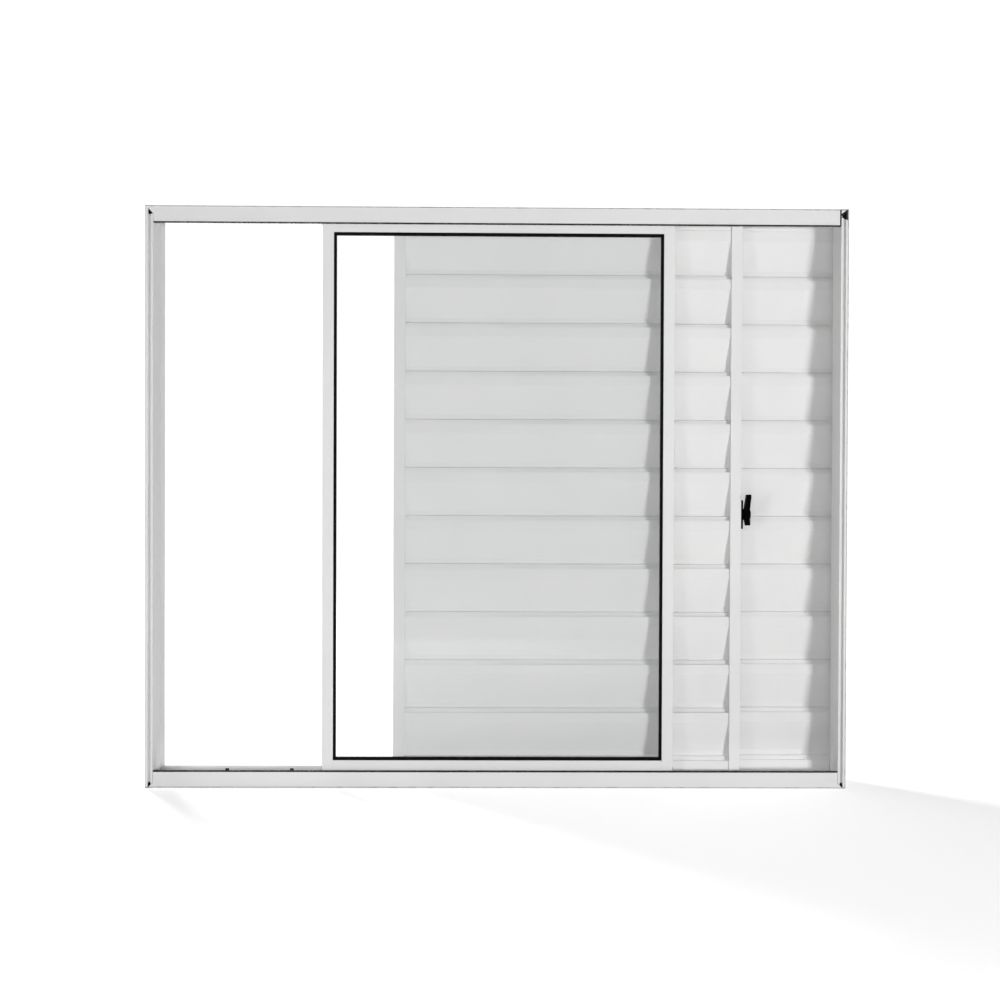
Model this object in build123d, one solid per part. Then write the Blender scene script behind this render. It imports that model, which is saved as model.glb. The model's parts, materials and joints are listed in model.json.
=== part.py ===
"""Louvred shutter window: a three-track sliding window of white painted aluminium.

One glazed sash runs in the track next to the room. Behind it runs a sliding shutter,
and behind that stands a fixed shutter, each with a column of slanted blades.

Millimetres. X is the width, Y runs from the room face to the outside, Z is up.
The origin is at the bottom centre of the frame. Sections of level pieces are drawn
as (depth, height), and sections of upright pieces as (x, depth), where depth is
measured from the room face of the frame.
"""
from build123d import *
import os

os.makedirs("parts", exist_ok=True)

# Frame
WIDTH = 1200.0
HEIGHT = 992.0
DEPTH = 80.0
SKIN = 1.2
LIP_HEIGHT = 26.8
LIP_SKIN = 1.8
BEAD_STEP = 0.5
BEAD_HEIGHT = 2.5
OUTER_RADIUS = 1.6
THROUGH = 1.0

# Jambs, measured inwards from the outer face
JAMB_LIP = 5.2
JAMB_GROOVE = 10.4
JAMB_REVEAL = 13.5
GROOVE_DEPTH = 6.0
POCKET_FRONT = 49.5
NOTCH_TOP = 14.5
NOTCH_BOTTOM = 9.0
NOTCH_DEPTH = 12.0
EAR_SLOPE_TOP = 9.5
JOINT_GAP = 0.6
CLEAR_HALF = WIDTH / 2 - JAMB_REVEAL

# Tracks, as depths from the room face
SASH_FRONT = 8.0
SASH_DEPTH = 18.0
SHUTTER_DEPTH = 20.0
SLIDING_FRONT = 30.0
FIXED_FRONT = 53.0
GUIDE_1 = 27.3
GUIDE_2 = 50.8
SILL_PLATE = 1.5
SILL_FLOOR = 11.5
RAIL_TOP = 17.0
RAIL_SKIN = 1.6
SILL_GUIDE_2 = 15.0
UPSTAND_TOP = 20.1
UPSTAND_FRONT = 75.0
NOTCH_ROOM = 1.2
HEAD_PLATE = 1.6
HEAD_GUIDE_1 = 18.0
HEAD_GUIDE_2 = 13.0
BACK_LIP = 9.5
BACK_HOOK = 3.2

# Pile seals
PILE_SLOT = 4.4
PILE_WALL = 1.0
PILE_SHELF = 1.2
PILE_BACKING = 1.4
PILE_WIDTH = 2.4
PILE_REACH = 2.7
PILE_PLAY = 0.1

# Leaves
LEAF_WIDTH = 602.6
STILE = 18.8
SASH_LEFT = -299.2
SLIDING_LEFT = -178.8
FIXED_LEFT = -3.0
SASH_BOTTOM = 15.2
SASH_TOP = 980.3
RAIL_FACE = 30.4
SHUTTER_BOTTOM = 14.0
SHUTTER_TOP = 984.0
TUBE_SKIN = 1.1
STILE_RADIUS = 0.5
FIXED_CHANNEL = 11.0

# Glazing
GLASS = 3.0
GLASS_FRONT = 12.7
GLASS_BITE = 8.0
GLASS_CHANNEL = 11.0
GLASS_CHANNEL_BACK = 19.2
GASKET_SHOWN = 4.3

# Blades, with depths from the front of their shutter and heights from the blade's top edge
BLADES = 11
BLADE_SKIN = 0.9
FLANGE_FRONT = 2.6
FLANGE_HEIGHT = 17.3
BELLY_FRONT = 12.7
SLOPE_HEIGHT = 51.1
HEM_FRONT = 9.6
HEM_ABOVE = 5.8
HEM_STEP = 2.0
HEM_BELOW = 3.0
BLADE_SEAT = 7.0

# Shutter rails: top edge of the first blade and of the bottom rail in each shutter
SLIDING_SPAN = (960.8, 40.0)
FIXED_SPAN = (964.4, 37.4)
RAIL_FRONT = 2.6
RAIL_JOINT = 0.4
RAIL_GUTTER = 9.0
RAIL_BACK_LIP = 3.0

# Rollers
WHEEL_RADIUS = 6.2
WHEEL_WIDTH = 8.0
WHEEL_GROOVE = 0.8
GROOVE_PLAY = 0.4
AXLE_RADIUS = 1.5
ROLLER_INSET = 80.0

# Drainage
DRAIN_X = (361.0, 475.0)
DRAIN_RADIUS = 2.25
DRAIN_LIFT = 0.2
WEEP_X = (200.0, 430.0)
WEEP_LENGTH = 22.0
WEEP_HEIGHT = 4.0
WEEP_LIFT = 3.4

# Latch
LATCH_HEIGHT = 469.0
LATCH_PLATE = (3.7, 16.0, 50.0)
LATCH_CORNER = 3.0
HUB_RADIUS = 7.35
LEVER_THICKNESS = 8.6
LEVER_START = 6.4
LEVER_TIP = (-19.0, 31.0, 3.9)
LEVER_TAIL = (-12.0, -14.8, 3.9)


def wall(a0, a1, b0, b1):
    """One straight wall of a section, between two pairs of coordinates."""
    return Pos((a0 + a1) / 2, (b0 + b1) / 2) * Rectangle(a1 - a0, b1 - b0)


def tube(a0, a1, b0, b1, skin):
    """A closed rectangular tube section."""
    return wall(a0, a1, b0, b1) - wall(a0 + skin, a1 - skin, b0 + skin, b1 - skin)


def level(section, x0, x1):
    """Run a (depth, height) section from x0 to x1."""
    plane = Plane(origin=(x0, -DEPTH / 2, 0), x_dir=(0, 1, 0), z_dir=(1, 0, 0))
    return extrude(plane * section, amount=x1 - x0)


def upright(section, z0, z1):
    """Run an (x, depth) section from z0 up to z1."""
    plane = Plane(origin=(0, -DEPTH / 2, z0), x_dir=(1, 0, 0), z_dir=(0, 0, 1))
    return extrude(plane * section, amount=z1 - z0)


def facing(section, d0, d1):
    """Run an (x, height) section back from depth d0 to d1."""
    plane = Plane(origin=(0, d1 - DEPTH / 2, 0), x_dir=(1, 0, 0), z_dir=(0, -1, 0))
    return extrude(plane * section, amount=d1 - d0)


def outline(*points):
    """A face with straight sides through the given points."""
    return make_face(Polyline(*points, close=True))


def flip_height(section):
    """The same level section upside down, within the frame's height."""
    return Pos(0, HEIGHT) * mirror(section, about=Plane.XZ)


def round_corner(section, a, b, radius):
    """Round the corner of a section that lies nearest to (a, b)."""
    corner = section.vertices().sort_by_distance((a, b, 0))[0]
    return fillet(corner, radius)


# Frame sections

def front_lip():
    """Room-side lip of the sill with its beads and the slot that holds the pile."""
    top = LIP_HEIGHT
    slot_back = LIP_SKIN + PILE_SLOT
    hook = (PILE_SLOT - PILE_WIDTH) / 2 - PILE_PLAY
    shelf_top = top - PILE_WALL - PILE_BACKING
    shelf = shelf_top - PILE_SHELF
    lip = wall(BEAD_STEP, LIP_SKIN, 0, top)
    lip += wall(0, LIP_SKIN, top - BEAD_HEIGHT, top)
    lip += wall(0, LIP_SKIN, 0, BEAD_HEIGHT)
    lip += wall(LIP_SKIN, slot_back + PILE_WALL, shelf, shelf_top)
    lip += wall(slot_back, slot_back + PILE_WALL, shelf, top)
    lip += wall(LIP_SKIN, LIP_SKIN + hook, top - PILE_WALL, top)
    lip += wall(slot_back - hook, slot_back, top - PILE_WALL, top)
    return lip


def sill_section():
    section = front_lip()
    section += wall(0, DEPTH, 0, SILL_PLATE)
    section += wall(LIP_SKIN, DEPTH - SKIN, SILL_FLOOR - SILL_PLATE, SILL_FLOOR)
    for centre in (SASH_FRONT + SASH_DEPTH / 2, SLIDING_FRONT + SHUTTER_DEPTH / 2):
        rail = wall(centre - RAIL_SKIN / 2, centre + RAIL_SKIN / 2, 0, RAIL_TOP - RAIL_SKIN / 2)
        section += rail + Pos(centre, RAIL_TOP - RAIL_SKIN / 2) * Circle(RAIL_SKIN / 2)
    section += wall(GUIDE_1, GUIDE_1 + SKIN, SILL_FLOOR - SILL_PLATE, UPSTAND_TOP)
    section += wall(GUIDE_2, GUIDE_2 + SKIN, 0, SILL_GUIDE_2)
    section += tube(UPSTAND_FRONT, DEPTH, SILL_FLOOR - SKIN, UPSTAND_TOP, SKIN)
    section += wall(DEPTH - SKIN, DEPTH, 0, UPSTAND_TOP)
    return round_corner(section, 0, 0, OUTER_RADIUS)


def head_section():
    section = flip_height(front_lip())
    section += wall(0, DEPTH, HEIGHT - HEAD_PLATE, HEIGHT)
    section += wall(GUIDE_1, GUIDE_1 + SKIN, HEIGHT - HEAD_GUIDE_1, HEIGHT)
    section += wall(GUIDE_2, GUIDE_2 + SKIN, HEIGHT - HEAD_GUIDE_2, HEIGHT)
    section += wall(DEPTH - SKIN, DEPTH, HEIGHT - BACK_LIP, HEIGHT)
    section += wall(DEPTH - BACK_HOOK, DEPTH, HEIGHT - BACK_LIP, HEIGHT - BACK_LIP + SKIN)
    return round_corner(section, 0, HEIGHT, OUTER_RADIUS)


def jamb_section():
    """Left jamb: web, front lip, groove, rib, reveal and the pocket behind the reveal."""
    u0 = -WIDTH / 2
    section = wall(u0, u0 + SKIN, 0, DEPTH)
    section += wall(u0, u0 + JAMB_LIP, 0, SKIN)
    section += wall(u0 + JAMB_LIP - SKIN, u0 + JAMB_LIP, 0, GROOVE_DEPTH)
    section += wall(u0 + JAMB_LIP - SKIN, u0 + JAMB_REVEAL, GROOVE_DEPTH - SKIN, GROOVE_DEPTH)
    section += wall(u0 + JAMB_GROOVE, u0 + JAMB_REVEAL, 0, GROOVE_DEPTH)
    section += wall(u0 + JAMB_REVEAL - SKIN, u0 + JAMB_REVEAL, 0, POCKET_FRONT)
    section += wall(u0, u0 + JAMB_REVEAL, POCKET_FRONT - SKIN, POCKET_FRONT)
    section += wall(u0, u0 + JAMB_REVEAL, DEPTH - SKIN, DEPTH)
    return round_corner(section, u0, 0, OUTER_RADIUS)


# Frame pieces

def left_jamb():
    """Full-height jamb. Its rib and groove stop short of the head and are mitred below."""
    x_lip = -WIDTH / 2 + JAMB_LIP
    x_rib = -WIDTH / 2 + JAMB_REVEAL + THROUGH
    notch = wall(x_lip, x_rib, HEIGHT - NOTCH_TOP, HEIGHT + THROUGH)
    low = NOTCH_BOTTOM - (JAMB_REVEAL - JAMB_LIP)
    mitre = outline((x_lip, -THROUGH), (x_lip, low), (x_rib, NOTCH_BOTTOM + THROUGH), (x_rib, -THROUGH))
    jamb = upright(jamb_section(), 0, HEIGHT)
    return jamb - facing(notch, -THROUGH, NOTCH_DEPTH) - facing(mitre, -THROUGH, NOTCH_DEPTH)


def head_ear():
    """Tip of the head's lip that reaches over the end of the left jamb's rib."""
    x0 = -CLEAR_HALF
    x1 = -WIDTH / 2 + JAMB_LIP
    drop = NOTCH_TOP - JOINT_GAP
    return outline((x0, HEIGHT), (x1, HEIGHT), (x1, HEIGHT - drop + EAR_SLOPE_TOP), (x0, HEIGHT - drop))


def sill_ear():
    """Tip of the sill's lip, mitred to the foot of the left jamb's rib."""
    x0 = -CLEAR_HALF
    x1 = -WIDTH / 2 + JAMB_LIP
    rise = NOTCH_BOTTOM - JOINT_GAP
    return outline((x0, 0), (x1, 0), (x1, rise - (x0 - x1)), (x0, rise))


def both_ears(ear):
    left = facing(ear, 0, LIP_SKIN)
    return [left, mirror(left, about=Plane.YZ)]


def lip_joints(z0, z1):
    """Thin gaps where the ends of a lip stop beside the jambs' ribs."""
    cut = facing(wall(-CLEAR_HALF - THROUGH, -CLEAR_HALF + JOINT_GAP, z0, z1), -THROUGH, LIP_SKIN)
    return [cut, mirror(cut, about=Plane.YZ)]


def head_track():
    head = level(head_section(), -CLEAR_HALF, CLEAR_HALF)
    head -= lip_joints(HEIGHT - LIP_HEIGHT - THROUGH, HEIGHT - NOTCH_TOP + JOINT_GAP)
    return head + both_ears(head_ear())


def sill_track():
    """Sill with its two running rails, drain holes inside and weep slots outside."""
    sill = level(sill_section(), -CLEAR_HALF, CLEAR_HALF)
    sill -= lip_joints(NOTCH_BOTTOM - JOINT_GAP, LIP_HEIGHT + THROUGH)
    drain_z = SILL_FLOOR + DRAIN_RADIUS + DRAIN_LIFT
    weep_z = SILL_FLOOR + WEEP_LIFT
    for side in (-1, 1):
        for x in DRAIN_X:
            hole = Pos(side * x, drain_z) * Circle(DRAIN_RADIUS)
            sill -= facing(hole, UPSTAND_FRONT - THROUGH, UPSTAND_FRONT + SKIN + THROUGH)
        for x in WEEP_X:
            slot = Pos(side * x, weep_z) * SlotOverall(WEEP_LENGTH, WEEP_HEIGHT)
            sill -= facing(slot, DEPTH - SKIN - THROUGH, DEPTH + THROUGH)
    return sill + both_ears(sill_ear())


def pile_section():
    """Backing strip and brush of the sill's pile seal."""
    top = LIP_HEIGHT
    root = top - PILE_WALL
    middle = LIP_SKIN + PILE_SLOT / 2
    backing = wall(LIP_SKIN, LIP_SKIN + PILE_SLOT, root - PILE_BACKING, root)
    brush = wall(middle - PILE_WIDTH / 2, middle + PILE_WIDTH / 2, root, top + PILE_REACH)
    return backing + brush


# Glazed sash

def sash_stile():
    """Left stile of the glazed sash: a box with a channel for the glass beside it."""
    front = SASH_FRONT
    back = SASH_FRONT + SASH_DEPTH
    x0 = SASH_LEFT
    seat = x0 + STILE - GLASS_CHANNEL
    section = tube(x0, seat, front, back, TUBE_SKIN)
    section += wall(x0, x0 + STILE, front, front + SKIN)
    section += wall(seat - TUBE_SKIN, x0 + STILE, GLASS_CHANNEL_BACK, GLASS_CHANNEL_BACK + SKIN)
    section = round_corner(section, x0, front, STILE_RADIUS)
    section = round_corner(section, x0 + STILE, front, STILE_RADIUS)
    return upright(section, SASH_BOTTOM, SASH_TOP) - rail_notch(front, SASH_DEPTH, x0, x0 + STILE)


def sash_rail_top():
    front = SASH_FRONT
    back = SASH_FRONT + SASH_DEPTH
    edge = SASH_TOP - RAIL_FACE
    seat = edge + GLASS_CHANNEL
    section = tube(front, back, seat, SASH_TOP, SKIN)
    section += wall(front, front + SKIN, edge, SASH_TOP)
    section += wall(GLASS_CHANNEL_BACK, GLASS_CHANNEL_BACK + SKIN, edge, seat + SKIN)
    return level(section, SASH_LEFT + STILE, SASH_LEFT + LEAF_WIDTH - STILE)


def sash_rail_bottom():
    """Bottom rail, open below so that it straddles the running rail and its rollers."""
    front = SASH_FRONT
    back = SASH_FRONT + SASH_DEPTH
    edge = SASH_BOTTOM + RAIL_FACE
    seat = edge - GLASS_CHANNEL
    section = wall(front, front + SKIN, SASH_BOTTOM, edge)
    section += wall(back - SKIN, back, SASH_BOTTOM, seat)
    section += wall(front, back, seat - SKIN, seat)
    section += wall(GLASS_CHANNEL_BACK, GLASS_CHANNEL_BACK + SKIN, seat - SKIN, edge)
    return level(section, SASH_LEFT + STILE, SASH_LEFT + LEAF_WIDTH - STILE)


def sash_opening(grow):
    """The sash's daylight opening, grown on every side."""
    x0 = SASH_LEFT + STILE - grow
    x1 = SASH_LEFT + LEAF_WIDTH - STILE + grow
    return wall(x0, x1, SASH_BOTTOM + RAIL_FACE - grow, SASH_TOP - RAIL_FACE + grow)


def glass_pane():
    return facing(sash_opening(GLASS_BITE), GLASS_FRONT, GLASS_FRONT + GLASS)


def glazing_gasket():
    """Rubber channel wrapped round the edge of the glass."""
    ring = sash_opening(GLASS_CHANNEL) - sash_opening(-GASKET_SHOWN)
    return facing(ring, SASH_FRONT + SKIN, GLASS_CHANNEL_BACK) - glass_pane()


# Shutters

def blade_section(front, pitch):
    """Blade with an upright flange on top, a slope, and a foot that steps forward to a hem."""
    flange = front + FLANGE_FRONT
    belly = front + BELLY_FRONT
    hem = front + HEM_FRONT
    step = -pitch + HEM_ABOVE
    room_side = [
        (flange, 0), (flange, -FLANGE_HEIGHT), (belly, -FLANGE_HEIGHT - SLOPE_HEIGHT),
        (belly, step + HEM_STEP), (hem, step), (hem, -pitch - HEM_BELOW),
    ]
    far_side = [(depth + BLADE_SKIN, height) for depth, height in reversed(room_side)]
    return outline(*room_side, *far_side)


def blades(front, x0, x1, span):
    """A column of blades spread evenly from the first top edge down to the bottom rail."""
    first, last = span
    pitch = (first - last) / BLADES
    blade = level(blade_section(front, pitch), x0, x1)
    return [Pos(0, 0, first - pitch * row) * blade for row in range(BLADES)]


def rail_notch(front, depth, x0, x1):
    """Notch through the foot of a stile, where it straddles a running rail."""
    centre = front + depth / 2
    half = RAIL_SKIN / 2 + NOTCH_ROOM
    return level(wall(centre - half, centre + half, 0, RAIL_TOP + NOTCH_ROOM), x0 - THROUGH, x1 + THROUGH)


def shutter_stile(x0, x1, front, bottom, slots):
    """Tube stile with a slot for the end of each blade."""
    section = tube(x0, x1, front, front + SHUTTER_DEPTH, TUBE_SKIN)
    section = round_corner(section, x0, front, STILE_RADIUS)
    section = round_corner(section, x1, front, STILE_RADIUS)
    return upright(section, bottom, SHUTTER_TOP) - slots


def shutter_channel(x0, x1, front, bottom, slots):
    """Slim channel that holds the blade ends inside the jamb's pocket."""
    back = front + SHUTTER_DEPTH
    section = wall(x0, x1, front, back)
    section -= wall(x0 - THROUGH, x1 - TUBE_SKIN, front + TUBE_SKIN, back - TUBE_SKIN)
    return upright(section, bottom, SHUTTER_TOP) - slots


def shutter_rail_top(x0, x1, front, span):
    edge = span[0] + RAIL_JOINT
    return level(tube(front + RAIL_FRONT, front + SHUTTER_DEPTH, edge, SHUTTER_TOP, SKIN), x0, x1)


def shutter_rail_bottom(x0, x1, front, bottom, span):
    """Rail with a gutter on top, where the lowest blade ends, and open below."""
    top = span[1]
    face = front + RAIL_FRONT
    back = front + SHUTTER_DEPTH
    section = wall(face, face + SKIN, bottom, top)
    section += wall(back - SKIN, back, bottom, top - RAIL_BACK_LIP)
    section += wall(face, back, top - RAIL_GUTTER - SKIN, top - RAIL_GUTTER)
    return level(section, x0, x1)


def name_blades(prefix, column):
    return {f"{prefix}_blade_{row:02d}": blade for row, blade in enumerate(column, start=1)}


def sliding_shutter():
    """Shutter in the middle track, with a stile on both sides."""
    front = SLIDING_FRONT
    left = SLIDING_LEFT + STILE
    right = SLIDING_LEFT + LEAF_WIDTH - STILE
    column = blades(front, left - BLADE_SEAT, right + BLADE_SEAT, SLIDING_SPAN)
    cuts = column + [rail_notch(front, SHUTTER_DEPTH, SLIDING_LEFT, right + STILE)]
    foot = SHUTTER_BOTTOM
    pieces = {
        "sliding_shutter_left_stile": shutter_stile(SLIDING_LEFT, left, front, foot, cuts),
        "sliding_shutter_right_stile": shutter_stile(right, right + STILE, front, foot, cuts),
        "sliding_shutter_top_rail": shutter_rail_top(left, right, front, SLIDING_SPAN),
        "sliding_shutter_bottom_rail": shutter_rail_bottom(left, right, front, foot, SLIDING_SPAN),
    }
    pieces.update(name_blades("sliding_shutter", column))
    return pieces


def fixed_shutter():
    """Shutter in the outer track, held in the right jamb's pocket."""
    front = FIXED_FRONT
    left = FIXED_LEFT + STILE
    right = WIDTH / 2 - SKIN - FIXED_CHANNEL
    column = blades(front, left - BLADE_SEAT, right + BLADE_SEAT, FIXED_SPAN)
    foot = SILL_FLOOR
    channel_end = right + FIXED_CHANNEL
    pieces = {
        "fixed_shutter_left_stile": shutter_stile(FIXED_LEFT, left, front, foot, column),
        "fixed_shutter_right_channel": shutter_channel(right, channel_end, front, foot, column),
        "fixed_shutter_top_rail": shutter_rail_top(left, right, front, FIXED_SPAN),
        "fixed_shutter_bottom_rail": shutter_rail_bottom(left, right, front, foot, FIXED_SPAN),
    }
    pieces.update(name_blades("fixed_shutter", column))
    return pieces


# Rollers and latch

def roller(to_front, to_back):
    """Grooved wheel centred at the origin, on an axle that reaches the rail's two walls."""
    half = WHEEL_WIDTH / 2
    rim = WHEEL_RADIUS
    groove = RAIL_SKIN / 2 + GROOVE_PLAY
    profile = outline(
        (0, -half), (rim, -half), (rim, -groove), (rim - WHEEL_GROOVE, -groove / 2),
        (rim - WHEEL_GROOVE, groove / 2), (rim, groove), (rim, half), (0, half),
    )
    wheel = revolve(profile, Axis.Y)
    axle = extrude(Plane.XZ * Circle(AXLE_RADIUS), amount=(to_front + to_back) / 2, both=True)
    return wheel + Pos(0, (to_back - to_front) / 2, 0) * axle


def roller_wheels():
    """Two rollers under each leaf that slides, seated on the sill's running rails."""
    height = RAIL_TOP - WHEEL_GROOVE + WHEEL_RADIUS
    leaves = (
        (SASH_LEFT, SASH_FRONT, SASH_DEPTH / 2, 0),
        (SLIDING_LEFT, SLIDING_FRONT, SHUTTER_DEPTH / 2, RAIL_FRONT),
    )
    wheels = []
    for left, front, half, recess in leaves:
        y = front + half - DEPTH / 2
        for x in (left + ROLLER_INSET, left + LEAF_WIDTH - ROLLER_INSET):
            wheels.append(Pos(x, y, height) * roller(half - recess - SKIN, half - SKIN))
    return Compound(children=wheels)


def latch_place():
    """Point on the sliding shutter's right side face that the latch turns about."""
    x = SLIDING_LEFT + LEAF_WIDTH
    return Pos(x, SLIDING_FRONT + SHUTTER_DEPTH / 2 - DEPTH / 2, LATCH_HEIGHT)


def latch_base():
    thick, deep, tall = LATCH_PLATE
    plate = extrude(Plane.YZ * RectangleRounded(deep, tall, LATCH_CORNER), amount=thick)
    hub = extrude(Plane.YZ * Circle(HUB_RADIUS), amount=LEVER_START)
    return latch_place() * (plate + hub)


def latch_lever():
    """Thumb lever: a round hub with one long arm up and a short one down."""
    hub = Circle(HUB_RADIUS)
    lever = hub
    for y, z, radius in (LEVER_TIP, LEVER_TAIL):
        arm = make_hull((hub.edges() + (Pos(y, z) * Circle(radius)).edges()))
        lever += arm
    solid = extrude(Plane.YZ.offset(LEVER_START) * lever, amount=LEVER_THICKNESS)
    return latch_place() * solid


def all_pieces():
    jamb = left_jamb()
    stile = sash_stile()
    sash_middle = Plane.YZ.offset(SASH_LEFT + LEAF_WIDTH / 2)
    pieces = {
        "head_track": head_track(),
        "sill_track": sill_track(),
        "left_jamb": jamb,
        "right_jamb": mirror(jamb, about=Plane.YZ),
        "head_pile_seal": level(flip_height(pile_section()), -CLEAR_HALF, CLEAR_HALF),
        "sill_pile_seal": level(pile_section(), -CLEAR_HALF, CLEAR_HALF),
        "glass_sash_left_stile": stile,
        "glass_sash_right_stile": mirror(stile, about=sash_middle),
        "glass_sash_top_rail": sash_rail_top(),
        "glass_sash_bottom_rail": sash_rail_bottom(),
        "glass_pane": glass_pane(),
        "glazing_gasket": glazing_gasket(),
    }
    pieces.update(sliding_shutter())
    pieces.update(fixed_shutter())
    pieces["roller_wheels"] = roller_wheels()
    pieces["latch_base"] = latch_base()
    pieces["latch_lever"] = latch_lever()
    return pieces


for name, shape in all_pieces().items():
    export_step(shape, f"parts/{name}.step")
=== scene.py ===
"""Looks of the louvred shutter window: paint, glass, seals, fasteners, light and camera.

Everything is in metres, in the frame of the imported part: X is the width, Y runs from the
room to the outside, Z is up, and the origin is at the bottom centre of the window.
"""

import json
import math

import bmesh
import bpy
from mathutils import Matrix, Vector, noise


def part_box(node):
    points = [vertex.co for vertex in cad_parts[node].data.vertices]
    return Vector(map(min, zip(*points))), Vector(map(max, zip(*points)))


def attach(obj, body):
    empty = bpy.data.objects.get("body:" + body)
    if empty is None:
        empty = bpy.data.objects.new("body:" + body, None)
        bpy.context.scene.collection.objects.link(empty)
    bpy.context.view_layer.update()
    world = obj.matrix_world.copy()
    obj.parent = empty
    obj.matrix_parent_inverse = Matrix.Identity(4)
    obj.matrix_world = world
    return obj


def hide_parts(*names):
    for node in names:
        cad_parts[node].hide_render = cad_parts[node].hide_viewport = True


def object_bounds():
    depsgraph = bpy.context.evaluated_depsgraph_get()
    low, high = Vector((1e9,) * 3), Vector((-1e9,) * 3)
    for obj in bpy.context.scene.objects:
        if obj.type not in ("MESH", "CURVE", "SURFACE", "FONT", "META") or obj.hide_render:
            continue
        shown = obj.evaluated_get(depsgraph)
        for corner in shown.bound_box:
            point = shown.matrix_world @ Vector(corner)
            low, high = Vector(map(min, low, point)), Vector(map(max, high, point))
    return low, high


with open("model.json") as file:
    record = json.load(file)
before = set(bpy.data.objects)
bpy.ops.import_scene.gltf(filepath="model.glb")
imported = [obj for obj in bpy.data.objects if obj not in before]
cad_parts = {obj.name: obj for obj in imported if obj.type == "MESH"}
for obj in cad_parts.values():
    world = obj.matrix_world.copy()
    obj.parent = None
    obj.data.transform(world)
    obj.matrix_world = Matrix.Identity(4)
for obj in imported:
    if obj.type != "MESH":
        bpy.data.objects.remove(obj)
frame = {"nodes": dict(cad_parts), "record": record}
nodes = frame["nodes"]
cad_low, cad_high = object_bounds()

MM = 0.001
ROOM_FACE = cad_low.y
WIDTH = cad_high.x - cad_low.x
HEIGHT = cad_high.z

# Camera, fitted to the frame's edges in the 1000 x 1000 photograph
PHOTO_SIZE = 1000
FOCAL_PIXELS = 1219.6
CAMERA_X = -17.9 * MM
CAMERA_Z = 514.0 * MM
CAMERA_DISTANCE = 2082.1 * MM
CAMERA_YAW = math.radians(-0.624)
CAMERA_PITCH = math.radians(-0.573)
CAMERA_ROLL = math.radians(-0.218)
SENSOR = 36.0

# Light: each soft box stands at (x, distance before the room face, height). Two stand low in
# front, where the shadows on the leaves point, and one behind and above, for the outside.
RIGHT_SOFTBOX = (2.387, 3.0, 0.42)
LEFT_SOFTBOX = (-1.502, 1.9, 0.44)
BACK_SOFTBOX = (-1.6, -1.9, 3.0)
SOFTBOX_WIDTH = 0.6
SOFTBOX_HEIGHT = 0.35
FILL_SIZE = 0.4
RIGHT_POWER = 69.0
LEFT_POWER = 9.5
BACK_POWER = 75.0
FILL_POWER = 6.5
AMBIENT = 0.11
BACKDROP = 1.1

# Floor: it glows a little less near the window than far away from it
FLOOR_SIZE = 20.0
FLOOR_GREY = 0.90
FLOOR_GLOW = 0.62
FLOOR_NEAR = 0.9
FLOOR_FAR = 3.0

# Paint: tones as colours, and the die lines as cells a metre along X, Y and Z
PAINT_DARKER = (0.790, 0.792, 0.790, 1)
PAINT_LIGHTER = (0.812, 0.812, 0.808, 1)
# Colour of the painted light low down behind the sill's lip
PAINTED_LIGHT_FOOT = (0.935, 0.937, 0.933, 1)
PAINT_SCUFFED = (0.50, 0.50, 0.49, 1)
# Grey of the painted shade along the frame's outer front edges
ARRIS_SHADE_GREY = 0.08
# Black of the painted shade in the notch and gap at the top right and inside the drain holes
PAINTED_SHADE_BLACK = 0.004
LEVEL_LINES = (3, 900, 900)
UPRIGHT_LINES = (900, 900, 3)
PEEL_DEPTH = 0.06 * MM
SCUFFS_START = 500 * MM
SCUFFS_FULL = 600 * MM

# Marks on the paint: painted shade along the outer edge, black painted shade in the open notch
# and in the gap at the top right and inside the drain holes, and painted light low down behind
# the sill's lip. Ends, tips and the limits of the painted shade in the holes and of the painted
# light are measured from the origin, drops from the window's top, and the reach of the painted shade
# from a hole's middle.
ARRIS_WIDTH = 2.6 * MM
ARRIS_DEPTH = 2.5 * MM
LIP_END = 586.5 * MM
JOINT_WIDTH = 2.0 * MM
JOINT_DROP = 28.0 * MM
CORNER_SHADE_TIP = 584.5 * MM
CORNER_SHADE_END = 597.6 * MM
CORNER_SHADE_DROP = 9.4 * MM
CORNER_SHADE_SLOPE = 0.75
CORNER_SHADE_DEPTH = 14.0 * MM
MARK_BLUR = 0.4 * MM
DRAIN_X = (361.0 * MM, 475.0 * MM)
DRAIN_REACH = 3.0 * MM
DRAIN_FRONT = 34.4 * MM
DRAIN_BACK = 38.9 * MM
DRAIN_FOOT = 12.0 * MM
DRAIN_TOP = 16.2 * MM
FOOT_TOP = 80.0 * MM
FOOT_BASE = 30.0 * MM
FOOT_START = -20.0 * MM

# Pile seals: a fibre's lean is in radians, and its tip and shortest length are shares
FIBRE_SPACING = 0.55 * MM
FIBRE_RADIUS = 0.30 * MM
FIBRE_ROWS = 4
FIBRE_SIDES = 3
FIBRE_TIP = 0.4
FIBRE_LEAN = 0.12
FIBRE_SHORTEST = 0.86
FIBRE_SHIFT_ALONG = 0.25 * MM
FIBRE_SHIFT_ACROSS = 0.15 * MM
PILE_BACKING = 1.4 * MM
PILE_WIDTH = 2.2 * MM
PILE_SEED = 7

# Foam pads in the notches at the frame's corners, with the notches' sizes as in the source
LIP_SKIN = 1.8 * MM
NOTCH_OUTER = 5.2 * MM
NOTCH_INNER = 13.5 * MM
NOTCH_DEPTH = 12.0 * MM
NOTCH_TOP = 14.5 * MM
NOTCH_BOTTOM = 9.0 * MM
PAD_PLAY = 0.25 * MM
FOAM_CUTS = 5
FOAM_ROUNDING = 0.06
FOAM_PITS = 0.12 * MM
FOAM_CELLS = 600

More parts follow.
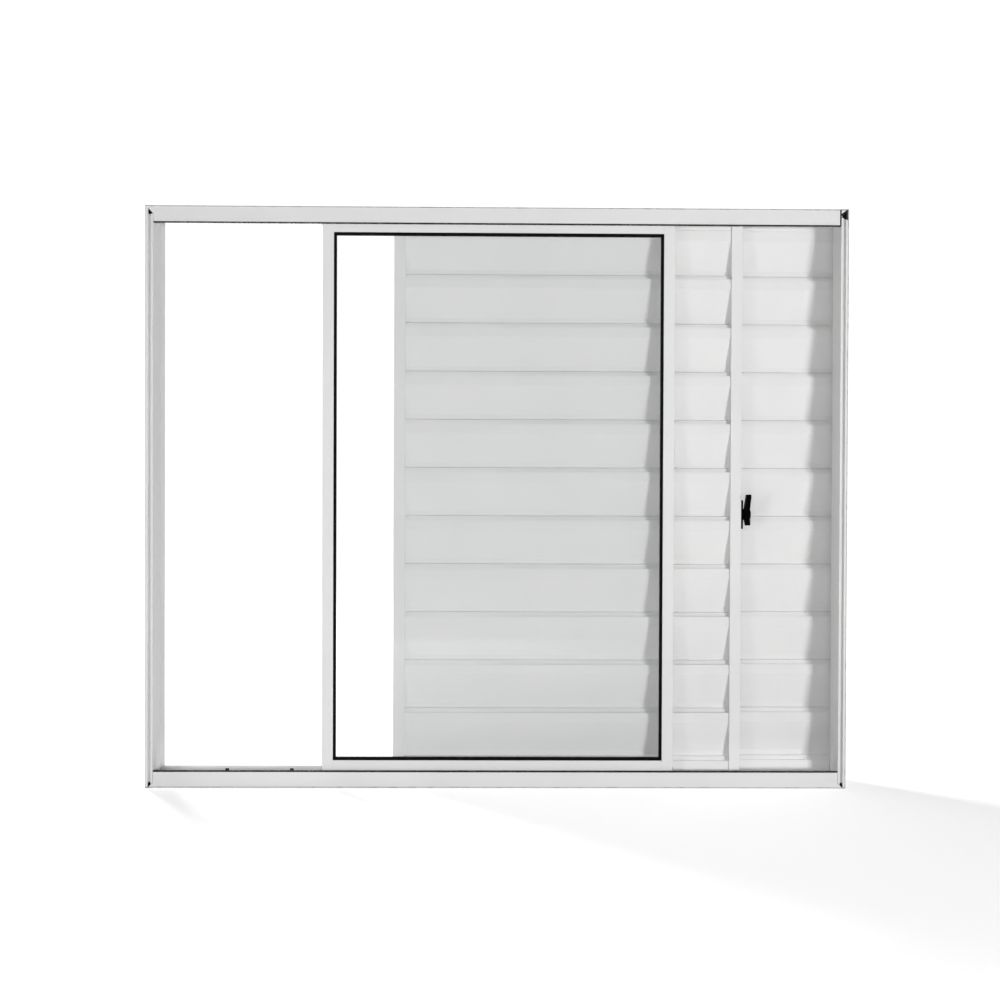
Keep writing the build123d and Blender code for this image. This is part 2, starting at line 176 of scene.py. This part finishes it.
# Screws: the head's rings are (share of the radius, share of the height), from the rim inwards,
# and the sizes of its cross are shares too
LEAF_SCREW_RADIUS = 3.6 * MM
LEAF_SCREW_HEIGHT = 2.2 * MM
LATCH_SCREW_RADIUS = 2.6 * MM
LATCH_SCREW_HEIGHT = 1.3 * MM
LATCH_PLATE = 3.7 * MM
LATCH_SCREW_INSET = 5.5 * MM
HEAD_RINGS = (
    (1.0, 0.0), (1.0, 0.35), (0.93, 0.62), (0.78, 0.84),
    (0.56, 0.96), (0.40, 1.0), (0.26, 1.0), (0.13, 1.0),
)
HEAD_SEGMENTS = 24
CROSS_REACH = 0.45
CROSS_HALF_WIDTH = 0.11
CROSS_DEPTH = 0.55
CROSS_CENTRE = 0.4
SCREW_SEED = 3

# Latch: its turned collar and cap as (distance from the stile, radius), in millimetres
TURNED_SEGMENTS = 40
COLLAR_PROFILE = ((3.7, 9.6), (5.6, 9.6), (6.4, 8.8))
CAP_PROFILE = ((15.0, 8.9), (16.4, 8.9), (17.2, 8.3), (17.6, 7.2), (17.6, 3.2), (17.1, 2.6))


class Signal:
    """A shader value. Arithmetic on it adds Math nodes to its finish."""

    def __init__(self, finish, socket):
        self.finish = finish
        self.socket = socket

    def _math(self, operation, first, second):
        return self.finish.node("ShaderNodeMath", {"operation": operation}, {0: first, 1: second})

    def __add__(self, other):
        return self._math("ADD", self, other)

    def __radd__(self, other):
        return self._math("ADD", other, self)

    def __sub__(self, other):
        return self._math("SUBTRACT", self, other)

    def __rsub__(self, other):
        return self._math("SUBTRACT", other, self)

    def __mul__(self, other):
        return self._math("MULTIPLY", self, other)

    def __rmul__(self, other):
        return self._math("MULTIPLY", other, self)

    def __abs__(self):
        return self._math("ABSOLUTE", self, 0.0)


def add_node(tree, kind, settings, inputs):
    """Add a node: first its settings, then the values or links of its sockets."""
    made = tree.nodes.new(kind)
    for name, value in (settings or {}).items():
        setattr(made, name, value)
    for key, value in (inputs or {}).items():
        source = value.socket if isinstance(value, Signal) else value
        if isinstance(source, bpy.types.NodeSocket):
            tree.links.new(source, made.inputs[key])
        else:
            made.inputs[key].default_value = source
    return made


class Finish:
    """A material, or the world, built from nodes."""

    def __init__(self, name, owner=None):
        self.owner = owner or bpy.data.materials.new(name)
        self.owner.use_nodes = True
        self.tree = self.owner.node_tree
        self.tree.nodes.clear()

    def node(self, kind, settings=None, inputs=None, output=0):
        """Add a node and give the signal of one of its outputs."""
        return Signal(self, add_node(self.tree, kind, settings, inputs).outputs[output])

    def place(self, stretch=(1, 1, 1)):
        """The object's own coordinates, stretched."""
        spot = self.node("ShaderNodeTexCoord", output="Object")
        return self.node("ShaderNodeMapping", {}, {"Vector": spot, "Scale": stretch})

    def noise(self, place, scale, detail=2.0, rough=0.5):
        """Smooth noise from 0 to 1 at the given number of cells a metre."""
        sizes = {"Vector": place, "Scale": scale, "Detail": detail, "Roughness": rough}
        return self.node("ShaderNodeTexNoise", {}, sizes, "Fac")

    def spread(self, value, low, high):
        """Map a value onto 0 to 1, clamped: 0 at low and 1 at high, which may be the smaller one."""
        sizes = {"Value": value, "From Min": low, "From Max": high}
        return self.node("ShaderNodeMapRange", {"clamp": True}, sizes)

    def blend(self, share, first, second):
        """Mix two colours."""
        settings = {"data_type": "RGBA"}
        return self.node("ShaderNodeMix", settings, {0: share, 6: first, 7: second}, 2)

    def bump(self, height, depth, strength=1.0):
        """A normal from a height between 0 and 1 over the given depth in metres."""
        sizes = {"Height": height, "Distance": depth, "Strength": strength}
        return self.node("ShaderNodeBump", {}, sizes)

    def surface(self, **sockets):
        """Finish the material with one principled surface, and give the material."""
        inputs = {}
        for key, value in sockets.items():
            inputs[key.replace("_", " ").title().replace("Ior", "IOR")] = value
        self.close(self.node("ShaderNodeBsdfPrincipled", {}, inputs))
        return self.owner

    def close(self, shader, kind="ShaderNodeOutputMaterial"):
        """Link the last shader to the output."""
        self.tree.links.new(shader.socket, self.tree.nodes.new(kind).inputs["Surface"])


def grey(level):
    """A neutral colour of the given brightness."""
    return (level, level, level, 1)


def outer_arris_shade(paint, x, y, z):
    """Share of painted shade on the frame's front edge: along its top, bottom and right side."""
    half = WIDTH / 2
    at_side = paint.spread(x, half - ARRIS_WIDTH, half - MARK_BLUR)
    at_top = paint.spread(z, HEIGHT - ARRIS_WIDTH, HEIGHT - MARK_BLUR)
    at_bottom = paint.spread(z, ARRIS_WIDTH, MARK_BLUR)
    in_front = paint.spread(y, ROOM_FACE + ARRIS_DEPTH, ROOM_FACE + MARK_BLUR)
    return paint.spread(at_side + at_top + at_bottom, 0, 1) * in_front


def corner_notch_shade(paint, x, y, z):
    """Share of black painted shade in the open notch at the top right corner and in the gap below it.
    """
    level = HEIGHT - CORNER_SHADE_DROP
    wedge = paint.spread(CORNER_SHADE_SLOPE * (x - CORNER_SHADE_TIP) - abs(z - level), 0, MARK_BLUR)
    wedge = wedge * paint.spread(x, CORNER_SHADE_END + MARK_BLUR, CORNER_SHADE_END)
    joint = paint.spread(x, LIP_END - JOINT_WIDTH - MARK_BLUR, LIP_END - JOINT_WIDTH)
    joint = joint * paint.spread(x, LIP_END + MARK_BLUR, LIP_END)
    joint = joint * paint.spread(z, HEIGHT - JOINT_DROP, HEIGHT - JOINT_DROP + MARK_BLUR)
    in_front = paint.spread(y, ROOM_FACE + CORNER_SHADE_DEPTH + MARK_BLUR, ROOM_FACE + CORNER_SHADE_DEPTH)
    return paint.spread(wedge + joint, 0, 1) * in_front


def drain_shade(paint, x, y, z):
    """Share of black painted shade in the sill's drain holes and behind them."""
    at_hole = 0.0
    for place in DRAIN_X:
        at_hole = paint.spread(abs(abs(x) - place), DRAIN_REACH + MARK_BLUR, DRAIN_REACH) + at_hole
    depth = paint.spread(y, DRAIN_FRONT, DRAIN_FRONT + MARK_BLUR)
    depth = depth * paint.spread(y, DRAIN_BACK + MARK_BLUR, DRAIN_BACK)
    height = paint.spread(z, DRAIN_TOP + MARK_BLUR, DRAIN_TOP)
    height = height * paint.spread(z, DRAIN_FOOT, DRAIN_FOOT + MARK_BLUR)
    return at_hole * depth * height


def powder_coat(name, stretch):
    """White powder coat: a faint orange peel over the die lines, scuffed near the window's sides, with
    painted light and shade.
    """
    paint = Finish(name)
    cloud = paint.spread(paint.noise(paint.place(), 7, 3), 0.35, 0.65)
    peel = paint.noise(paint.place(), 1100, 1)
    lines = paint.noise(paint.place(stretch), 1, 2)
    x, y, z = (paint.node("ShaderNodeSeparateXYZ", {}, {0: paint.place()}, axis) for axis in "XYZ")
    near_side = paint.spread(abs(x), SCUFFS_START, SCUFFS_FULL)
    scratches = paint.spread(paint.noise(paint.place((260, 260, 900)), 1, 3, 0.7), 0.60, 0.68)
    rubs = paint.spread(paint.noise(paint.place(), 55, 4, 0.6), 0.50, 0.62)
    scuffs = scratches * rubs * near_side
    # Painted light: the paint is lighter low down behind the sill's lip
    painted_light_at_foot = paint.spread(z, FOOT_TOP, FOOT_BASE) * paint.spread(y, FOOT_START, FOOT_START / 2)
    clean = paint.blend(cloud, PAINT_DARKER, PAINT_LIGHTER)
    clean = paint.blend(painted_light_at_foot, clean, PAINTED_LIGHT_FOOT)
    scuffed = paint.blend(0.5 * scuffs, clean, PAINT_SCUFFED)
    # Painted shade along the frame's outer front edges, varied by the rubs
    with_edge_shade = paint.blend(outer_arris_shade(paint, x, y, z) * (0.6 + 0.4 * rubs), scuffed, grey(ARRIS_SHADE_GREY))
    # Black painted shade in the notch and gap at the top right and inside the drain holes
    black = corner_notch_shade(paint, x, y, z) + drain_shade(paint, x, y, z)
    return paint.surface(
        base_color=paint.blend(black, with_edge_shade, grey(PAINTED_SHADE_BLACK)),
        roughness=0.44 + 0.07 * cloud + 0.06 * lines,
        normal=paint.bump(0.6 * peel + 0.4 * lines - 0.5 * scuffs, PEEL_DEPTH),
        specular_ior_level=0.30,
    )


def black_rubber():
    """Extruded rubber: nearly matt, with a dusty bloom and a fine grain."""
    rubber = Finish("black_rubber")
    bloom = rubber.spread(rubber.noise(rubber.place(), 60, 4), 0.4, 0.7)
    grain = rubber.noise(rubber.place(), 2500, 1)
    return rubber.surface(
        base_color=rubber.blend(bloom, grey(0.002), grey(0.005)),
        roughness=0.62 + 0.16 * bloom,
        normal=rubber.bump(grain, 0.04 * MM),
        specular_ior_level=0.06,
    )


def pile_fibre():
    """Dark woven pile, in slightly uneven tones along the strip."""
    pile = Finish("pile_fibre")
    tone = pile.noise(pile.place((900, 200, 60)), 1, 1)
    return pile.surface(
        base_color=pile.blend(tone, grey(0.020), grey(0.055)),
        roughness=0.9,
        specular_ior_level=0.1,
    )


def moulded_black():
    """Black moulded plastic with a fine spark-eroded grain, rubbed smoother in places."""
    plastic = Finish("moulded_black")
    rubbed = plastic.spread(plastic.noise(plastic.place(), 90, 3), 0.42, 0.66)
    grain = plastic.noise(plastic.place(), 3200, 2)
    return plastic.surface(
        base_color=plastic.blend(rubbed, grey(0.0008), grey(0.0016)),
        roughness=0.50 - 0.14 * rubbed,
        normal=plastic.bump(grain, 0.05 * MM, 0.7),
        specular_ior_level=0.02,
    )


def nylon():
    """Natural nylon of the rollers."""
    plastic = Finish("nylon")
    wear = plastic.noise(plastic.place(), 400, 3)
    return plastic.surface(
        base_color=plastic.blend(wear, (0.60, 0.59, 0.55, 1), (0.72, 0.71, 0.67, 1)),
        roughness=0.42 + 0.12 * wear,
    )


def zinc():
    """Zinc-plated steel of the screws."""
    plate = Finish("zinc")
    cloud = plate.noise(plate.place(), 500, 3)
    return plate.surface(
        base_color=plate.blend(cloud, (0.52, 0.53, 0.55, 1), (0.66, 0.66, 0.65, 1)),
        roughness=0.28 + 0.16 * cloud,
        metallic=1.0,
    )


def clear_glass():
    """Clear float glass: gloss and refraction for the eye, an open way for lamps and bounced light."""
    pane = Finish("clear_glass")
    solid = pane.node("ShaderNodeBsdfPrincipled", {}, {
        "Base Color": (0.955, 0.962, 0.958, 1),
        "Roughness": 0.0,
        "IOR": 1.5,
        "Transmission Weight": 1.0,
    })
    open_way = pane.node("ShaderNodeBsdfTransparent", {}, {"Color": (0.930, 0.934, 0.932, 1)})
    bounced = pane.node("ShaderNodeLightPath", output="Is Diffuse Ray")
    eye = pane.node("ShaderNodeMixShader", {}, {0: bounced, 1: solid, 2: open_way})
    lamps = pane.node("ShaderNodeLightPath", output="Is Shadow Ray")
    pane.close(pane.node("ShaderNodeMixShader", {}, {0: lamps, 1: eye, 2: open_way}))
    return pane.owner


def dress(node, material):
    """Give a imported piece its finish."""
    slots = nodes[node].data.materials
    slots.clear()
    slots.append(material)


def add_object(name, data):
    """Put a new object with the given data in the scene."""
    made = bpy.data.objects.new(name, data)
    bpy.context.scene.collection.objects.link(made)
    return made


def join_piece(name, mesh, material, replaced=()):
    """Put a finished mesh in the scene as a piece of the window."""
    piece = add_object(name, mesh)
    mesh.materials.clear()
    mesh.materials.append(material)
    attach(piece, "root")
    if replaced:
        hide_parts(*replaced)


def finished_mesh(name, form):
    """Turn a form into a mesh and free the form."""
    mesh = bpy.data.meshes.new(name)
    form.to_mesh(mesh)
    form.free()
    return mesh


def add_block(form, low, high):
    """Add a box between two opposite corners."""
    size = Matrix.Diagonal(high - low).to_4x4()
    bmesh.ops.create_cube(form, size=1, matrix=Matrix.Translation((low + high) / 2) @ size)


def bridge(form, rows):
    """Add the faces between each ring of vertices and the next."""
    for lower, upper in zip(rows, rows[1:]):
        for step in range(len(lower)):
            after = (step + 1) % len(lower)
            form.faces.new((lower[step], lower[after], upper[after], upper[step]))


class Grower:
    """A Geometry Nodes tree with named inputs, run once over a carrier mesh."""

    def __init__(self, name, sizes):
        self.tree = bpy.data.node_groups.new(name, "GeometryNodeTree")
        sockets = self.tree.interface
        sockets.new_socket(name="Geometry", in_out="INPUT", socket_type="NodeSocketGeometry")
        sockets.new_socket(name="Geometry", in_out="OUTPUT", socket_type="NodeSocketGeometry")
        for label in sizes:
            sockets.new_socket(name=label, in_out="INPUT", socket_type="NodeSocketFloat")
        self.sizes = sizes
        self.given = self.tree.nodes.new("NodeGroupInput")
        self.result = self.tree.nodes.new("NodeGroupOutput")

    def size(self, label):
        """The socket of a named input."""
        return self.given.outputs[label]

    def node(self, kind, settings=None, inputs=None):
        """Add a node and give it."""
        return add_node(self.tree, kind, settings, inputs)

    def close(self, instances, material):
        """Make the instances real, give them their material, and link them to the output."""
        real = self.node("GeometryNodeRealizeInstances", {}, {0: instances})
        sockets = {"Geometry": real.outputs[0], "Material": material}
        dressed = self.node("GeometryNodeSetMaterial", {}, sockets)
        self.tree.links.new(dressed.outputs[0], self.result.inputs[0])

    def grow(self, carrier_mesh):
        """Run the tree over the mesh and give the result as a plain mesh."""
        carrier = add_object("carrier", carrier_mesh)
        growth = carrier.modifiers.new("growth", "NODES")
        growth.node_group = self.tree
        for item in self.tree.interface.items_tree:
            if item.item_type == "SOCKET" and item.in_out == "INPUT" and item.name in self.sizes:
                growth[item.identifier] = self.sizes[item.name]
        bpy.context.view_layer.update()
        graph = bpy.context.evaluated_depsgraph_get()
        mesh = bpy.data.meshes.new_from_object(carrier.evaluated_get(graph))
        bpy.data.objects.remove(carrier)
        return mesh


def pile_roots(name, low, high, root_z):
    """Points along the strip, in rows, where the fibres stand."""
    middle = (low.y + high.y) / 2
    count = round((high.x - low.x) / FIBRE_SPACING)
    step = (high.x - low.x) / count
    points = []
    for row in range(FIBRE_ROWS):
        y = middle - PILE_WIDTH / 2 + PILE_WIDTH * (row + 0.5) / FIBRE_ROWS
        for place in range(count):
            points.append((low.x + step * (place + 0.5), y, root_z))
    roots = bpy.data.meshes.new(name + "_roots")
    roots.from_pydata(points, [], [])
    return roots


def pile_seal(name, node, material, upwards):
    """Woven backing with rows of short fibres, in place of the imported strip."""
    low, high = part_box(node)
    reach = high.z - low.z - PILE_BACKING
    tilt = 0.0 if upwards else math.pi
    root_z = low.z + PILE_BACKING if upwards else high.z - PILE_BACKING
    backing_z = low.z if upwards else root_z
    grower = Grower(name, {"Fibre Height": reach, "Fibre Radius": FIBRE_RADIUS})
    fibre = grower.node("GeometryNodeMeshCone", {"fill_type": "NGON"}, {
        "Vertices": FIBRE_SIDES,
        "Radius Top": FIBRE_TIP * FIBRE_RADIUS,
        "Radius Bottom": grower.size("Fibre Radius"),
        "Depth": grower.size("Fibre Height"),
    })
    lean = grower.node("FunctionNodeRandomValue", {"data_type": "FLOAT_VECTOR"}, {
        "Min": (tilt - FIBRE_LEAN, -FIBRE_LEAN, 0.0),
        "Max": (tilt + FIBRE_LEAN, FIBRE_LEAN, math.tau),
        "Seed": PILE_SEED,
    })
    length = grower.node("FunctionNodeRandomValue", {"data_type": "FLOAT_VECTOR"}, {
        "Min": (1, 1, FIBRE_SHORTEST),
        "Max": (1, 1, 1),
        "Seed": PILE_SEED + 1,
    })
    shift = grower.node("FunctionNodeRandomValue", {"data_type": "FLOAT_VECTOR"}, {
        "Min": (-FIBRE_SHIFT_ALONG, -FIBRE_SHIFT_ACROSS, 0),
        "Max": (FIBRE_SHIFT_ALONG, FIBRE_SHIFT_ACROSS, 0),
        "Seed": PILE_SEED + 2,
    })
    moved = grower.node("GeometryNodeSetPosition", {}, {
        "Geometry": grower.given.outputs[0],
        "Offset": shift.outputs["Value"],
    })
    planted = grower.node("GeometryNodeInstanceOnPoints", {}, {
        "Points": moved.outputs[0],
        "Instance": fibre.outputs["Mesh"],
        "Rotation": lean.outputs["Value"],
        "Scale": length.outputs["Value"],
    })
    grower.close(planted.outputs[0], material)
    mesh = grower.grow(pile_roots(name, low, high, root_z))
    strip = bmesh.new()
    strip.from_mesh(mesh)
    backing_low = Vector((low.x, low.y, backing_z))
    add_block(strip, backing_low, Vector((high.x, high.y, backing_z + PILE_BACKING)))
    strip.to_mesh(mesh)
    strip.free()
    join_piece(name, mesh, material, (node,))


def add_foam(form, low, high):
    """Closed-cell foam cut to fill a gap: a rounded block with slightly uneven faces."""
    size = high - low
    middle = (low + high) / 2
    others = len(form.verts)
    add_block(form, low, high)
    form.verts.ensure_lookup_table()
    edges = {edge for corner in form.verts[others:] for edge in corner.link_edges}
    bmesh.ops.subdivide_edges(form, edges=list(edges), cuts=FOAM_CUTS, use_grid_fill=True)
    form.verts.ensure_lookup_table()
    for corner in form.verts[others:]:
        offset = corner.co - middle
        reach = Vector([2 * offset[axis] / size[axis] for axis in range(3)])
        rounding = 1 - FOAM_ROUNDING * (reach.length - 1) ** 2
        pit = FOAM_PITS * abs(noise.noise(corner.co * FOAM_CELLS))
        corner.co = middle + offset * rounding - offset.normalized() * pit


def corner_pads(material):
    """Black foam behind the mitred corners, which closes the notches in the jambs' ribs."""
    form = bmesh.new()
    half = WIDTH / 2
    front = ROOM_FACE + LIP_SKIN + PAD_PLAY
    back = ROOM_FACE + NOTCH_DEPTH - PAD_PLAY
    for foot, top in (
        (PAD_PLAY, NOTCH_BOTTOM - PAD_PLAY),
        (HEIGHT - NOTCH_TOP + PAD_PLAY, HEIGHT - PAD_PLAY),
    ):
        for side in (-1, 1):
            edges = (half - NOTCH_OUTER - PAD_PLAY, half - NOTCH_INNER + PAD_PLAY)
            left, right = sorted(side * edge for edge in edges)
            add_foam(form, Vector((left, front, foot)), Vector((right, back, top)))
    join_piece("corner_pads", finished_mesh("corner_pads", form), material)


def screw_head(radius, height):
    """Pan head with a cross recess, standing on the XY plane."""
    form = bmesh.new()
    rows = []
    for share, rise in HEAD_RINGS:
        row = []
        for step in range(HEAD_SEGMENTS):
            angle = math.tau * step / HEAD_SEGMENTS
            x, y = share * math.cos(angle), share * math.sin(angle)
            in_cross = share < CROSS_REACH and min(abs(x), abs(y)) < CROSS_HALF_WIDTH
            level = rise - (CROSS_DEPTH if in_cross else 0.0)
            row.append(form.verts.new((x * radius, y * radius, level * height)))
        rows.append(row)
    bridge(form, rows)
    inner = rows[-1]
    centre = form.verts.new((0, 0, CROSS_CENTRE * height))
    for step in range(HEAD_SEGMENTS):
        form.faces.new((inner[step], inner[(step + 1) % HEAD_SEGMENTS], centre))
    form.faces.new(list(reversed(rows[0])))
    return finished_mesh("screw_head", form)


def screws(name, places, radius, height, material):
    """Screw heads at (point, outward direction) places, grown on a mesh of points."""
    head = add_object(name + "_head", screw_head(radius, height))
    carrier = bpy.data.meshes.new(name + "_places")
    carrier.from_pydata([tuple(point) for point, _ in places], [], [])
    facing = carrier.attributes.new("facing", "FLOAT_VECTOR", "POINT")
    for index, (_, outward) in enumerate(places):
        facing.data[index].vector = outward
    grower = Grower(name, {"Head Scale": 1.0})
    info = grower.node("GeometryNodeObjectInfo", {}, {"Object": head})
    aim = grower.node("GeometryNodeInputNamedAttribute", {"data_type": "FLOAT_VECTOR"}, {
        "Name": "facing",
    })
    align = grower.node("FunctionNodeAlignRotationToVector", {"axis": "Z"}, {
        "Vector": aim.outputs["Attribute"],
    })
    turn = grower.node("FunctionNodeRandomValue", {"data_type": "FLOAT_VECTOR"}, {
        "Min": (0, 0, 0),
        "Max": (0, 0, math.pi),
        "Seed": SCREW_SEED,
    })
    turned = grower.node("FunctionNodeRotateRotation", {"rotation_space": "LOCAL"}, {
        "Rotation": align.outputs[0],
        "Rotate By": turn.outputs["Value"],
    })
    planted = grower.node("GeometryNodeInstanceOnPoints", {}, {
        "Points": grower.given.outputs[0],
        "Instance": info.outputs["Geometry"],
        "Rotation": turned.outputs[0],
        "Scale": grower.size("Head Scale"),
    })
    grower.close(planted.outputs[0], material)
    mesh = grower.grow(carrier)
    bpy.data.objects.remove(head)
    join_piece(name, mesh, material)


def dress_packed_pieces(rubber, plastic):
    """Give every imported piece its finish, with die lines along its own run."""
    level = powder_coat("powder_coat_level", LEVEL_LINES)
    upright = powder_coat("powder_coat_upright", UPRIGHT_LINES)
    other = {
        "clear_glass": clear_glass(),
        "black_gasket": rubber,
        "black_latch": plastic,
        "roller_nylon": nylon(),
    }
    for part in frame["record"]["subparts"]:
        node, slot_name = part["node"], part["material_slot"]
        if slot_name in other:
            dress(node, other[slot_name])
        elif slot_name == "white_aluminium":
            runs_up = any(word in node for word in ("jamb", "stile", "channel"))
            dress(node, upright if runs_up else level)


def latch_screws(material):
    """The two screws of the latch's base plate."""
    low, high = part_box("latch_base")
    middle = (low.y + high.y) / 2
    ends = (low.z + LATCH_SCREW_INSET, high.z - LATCH_SCREW_INSET)
    places = [(Vector((low.x + LATCH_PLATE, middle, z)), Vector((1, 0, 0))) for z in ends]
    screws("latch_screws", places, LATCH_SCREW_RADIUS, LATCH_SCREW_HEIGHT, material)


def add_turned(form, centre, profile):
    """Turn a profile of (distance, radius) pairs about an axis along X."""
    rows = []
    for along, radius in profile:
        row = []
        for step in range(TURNED_SEGMENTS):
            angle = math.tau * step / TURNED_SEGMENTS
            offset = Vector((along, radius * math.cos(angle), radius * math.sin(angle))) * MM
            row.append(form.verts.new(centre + offset))
        rows.append(row)
    bridge(form, rows)
    form.faces.new(list(reversed(rows[0])))
    form.faces.new(rows[-1])


def latch_boss(material):
    """Collar between the latch's base and lever, and the cap on the lever's outer side."""
    low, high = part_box("latch_base")
    centre = Vector((low.x, (low.y + high.y) / 2, (low.z + high.z) / 2))
    form = bmesh.new()
    for profile in (COLLAR_PROFILE, CAP_PROFILE):
        add_turned(form, centre, profile)
    bmesh.ops.recalc_face_normals(form, faces=form.faces[:])
    join_piece("latch_boss", finished_mesh("latch_boss", form), material)


def leaf_screws(material):
    """Screws through the leaves' upright sides into the ends of their level rails."""
    places = []
    for leaf, outer_sides in (
        ("glass_sash", (("left_stile", -1), ("right_stile", 1))),
        ("sliding_shutter", (("left_stile", -1), ("right_stile", 1))),
        ("fixed_shutter", (("left_stile", -1),)),
    ):
        for side_name, side in outer_sides:
            low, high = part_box(f"{leaf}_{side_name}")
            x = high.x if side > 0 else low.x
            middle = (low.y + high.y) / 2
            for rail_name in ("top_rail", "bottom_rail"):
                rail_low, rail_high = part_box(f"{leaf}_{rail_name}")
                z = (rail_low.z + rail_high.z) / 2
                places.append((Vector((x, middle, z)), Vector((side, 0, 0))))
    screws("leaf_screws", places, LEAF_SCREW_RADIUS, LEAF_SCREW_HEIGHT, material)


def shown(finish):
    """1 where the camera sees a thing straight, in a reflection or through glass, else 0."""
    straight = finish.node("ShaderNodeLightPath", output="Is Camera Ray")
    mirrored = finish.node("ShaderNodeLightPath", output="Is Glossy Ray")
    through = finish.node("ShaderNodeLightPath", output="Is Transmission Ray")
    bounced = finish.node("ShaderNodeLightPath", output="Diffuse Depth")
    return finish.spread(straight + mirrored + through, 0, 1) * finish.spread(bounced, 1, 0)


def pale_floor():
    """Floor of the studio, white far away and with the window's soft shadow near it."""
    form = bmesh.new()
    bmesh.ops.create_grid(form, x_segments=1, y_segments=1, size=FLOOR_SIZE)
    mesh = finished_mesh("floor", form)
    floor = add_object("floor", mesh)
    pale = Finish("pale_floor")
    away = pale.node("ShaderNodeVectorMath", {"operation": "LENGTH"}, {0: pale.place()}, "Value")
    far = pale.spread(away, FLOOR_NEAR, FLOOR_FAR)
    strength = shown(pale) * (FLOOR_GLOW + (1 - FLOOR_GLOW) * far)
    glow = pale.node("ShaderNodeEmission", {}, {"Color": grey(1.0), "Strength": strength})
    matt = pale.node("ShaderNodeBsdfDiffuse", {}, {"Color": grey(FLOOR_GREY)})
    pale.close(pale.node("ShaderNodeAddShader", {}, {0: glow, 1: matt}))
    mesh.materials.append(pale.owner)


def lamp(name, power, spot, width, height, aim):
    """A soft rectangular lamp that is seen neither through the glass nor mirrored in it."""
    light = bpy.data.lights.new(name, "AREA")
    light.shape = "RECTANGLE"
    light.size = width
    light.size_y = height
    light.energy = power
    placed = add_object(name, light)
    facing = (Vector(aim) - Vector(spot)).to_track_quat("-Z", "Y").to_matrix().to_4x4()
    placed.matrix_world = Matrix.Translation(spot) @ facing
    placed.visible_transmission = False
    placed.visible_glossy = False


def studio():
    """Pale floor, white surroundings, three soft boxes and a fill lamp at the camera."""
    pale_floor()
    world = bpy.data.worlds.new("white_surroundings")
    bpy.context.scene.world = world
    around = Finish("", world)
    strength = AMBIENT + (BACKDROP - AMBIENT) * shown(around)
    sky = around.node("ShaderNodeBackground", {}, {"Color": grey(1.0), "Strength": strength})
    around.close(sky, "ShaderNodeOutputWorld")
    middle = (0, ROOM_FACE, HEIGHT / 2)
    for name, power, (x, away, height) in (
        ("right_softbox", RIGHT_POWER, RIGHT_SOFTBOX),
        ("left_softbox", LEFT_POWER, LEFT_SOFTBOX),
        ("back_softbox", BACK_POWER, BACK_SOFTBOX),
    ):
        lamp(name, power, (x, ROOM_FACE - away, height), SOFTBOX_WIDTH, SOFTBOX_HEIGHT, middle)
    at_camera = (CAMERA_X, ROOM_FACE - CAMERA_DISTANCE, CAMERA_Z)
    lamp("fill", FILL_POWER, at_camera, FILL_SIZE, FILL_SIZE, middle)


def photographer():
    """Camera at the photograph's place, facing along Y with a slight turn, tilt and roll."""
    lens = bpy.data.cameras.new("camera")
    lens.sensor_width = SENSOR
    lens.lens = FOCAL_PIXELS / PHOTO_SIZE * SENSOR
    camera = add_object("camera", lens)
    spot = Matrix.Translation((CAMERA_X, ROOM_FACE - CAMERA_DISTANCE, CAMERA_Z))
    turn = Matrix.Rotation(CAMERA_YAW, 4, "Z")
    tilt = Matrix.Rotation(CAMERA_PITCH, 4, "X")
    roll = Matrix.Rotation(CAMERA_ROLL, 4, "Y")
    level = Matrix.Rotation(math.pi / 2, 4, "X")
    camera.matrix_world = spot @ turn @ tilt @ roll @ level
    bpy.context.scene.camera = camera


bpy.context.scene.view_settings.view_transform = "Standard"
photographer()
studio()
rubber = black_rubber()
plastic = moulded_black()
dress_packed_pieces(rubber, plastic)
fibre = pile_fibre()
pile_seal("head_pile", "head_pile_seal", fibre, upwards=False)
pile_seal("sill_pile", "sill_pile_seal", fibre, upwards=True)
corner_pads(rubber)
plated = zinc()
latch_boss(plastic)
latch_screws(plated)
leaf_screws(plated)
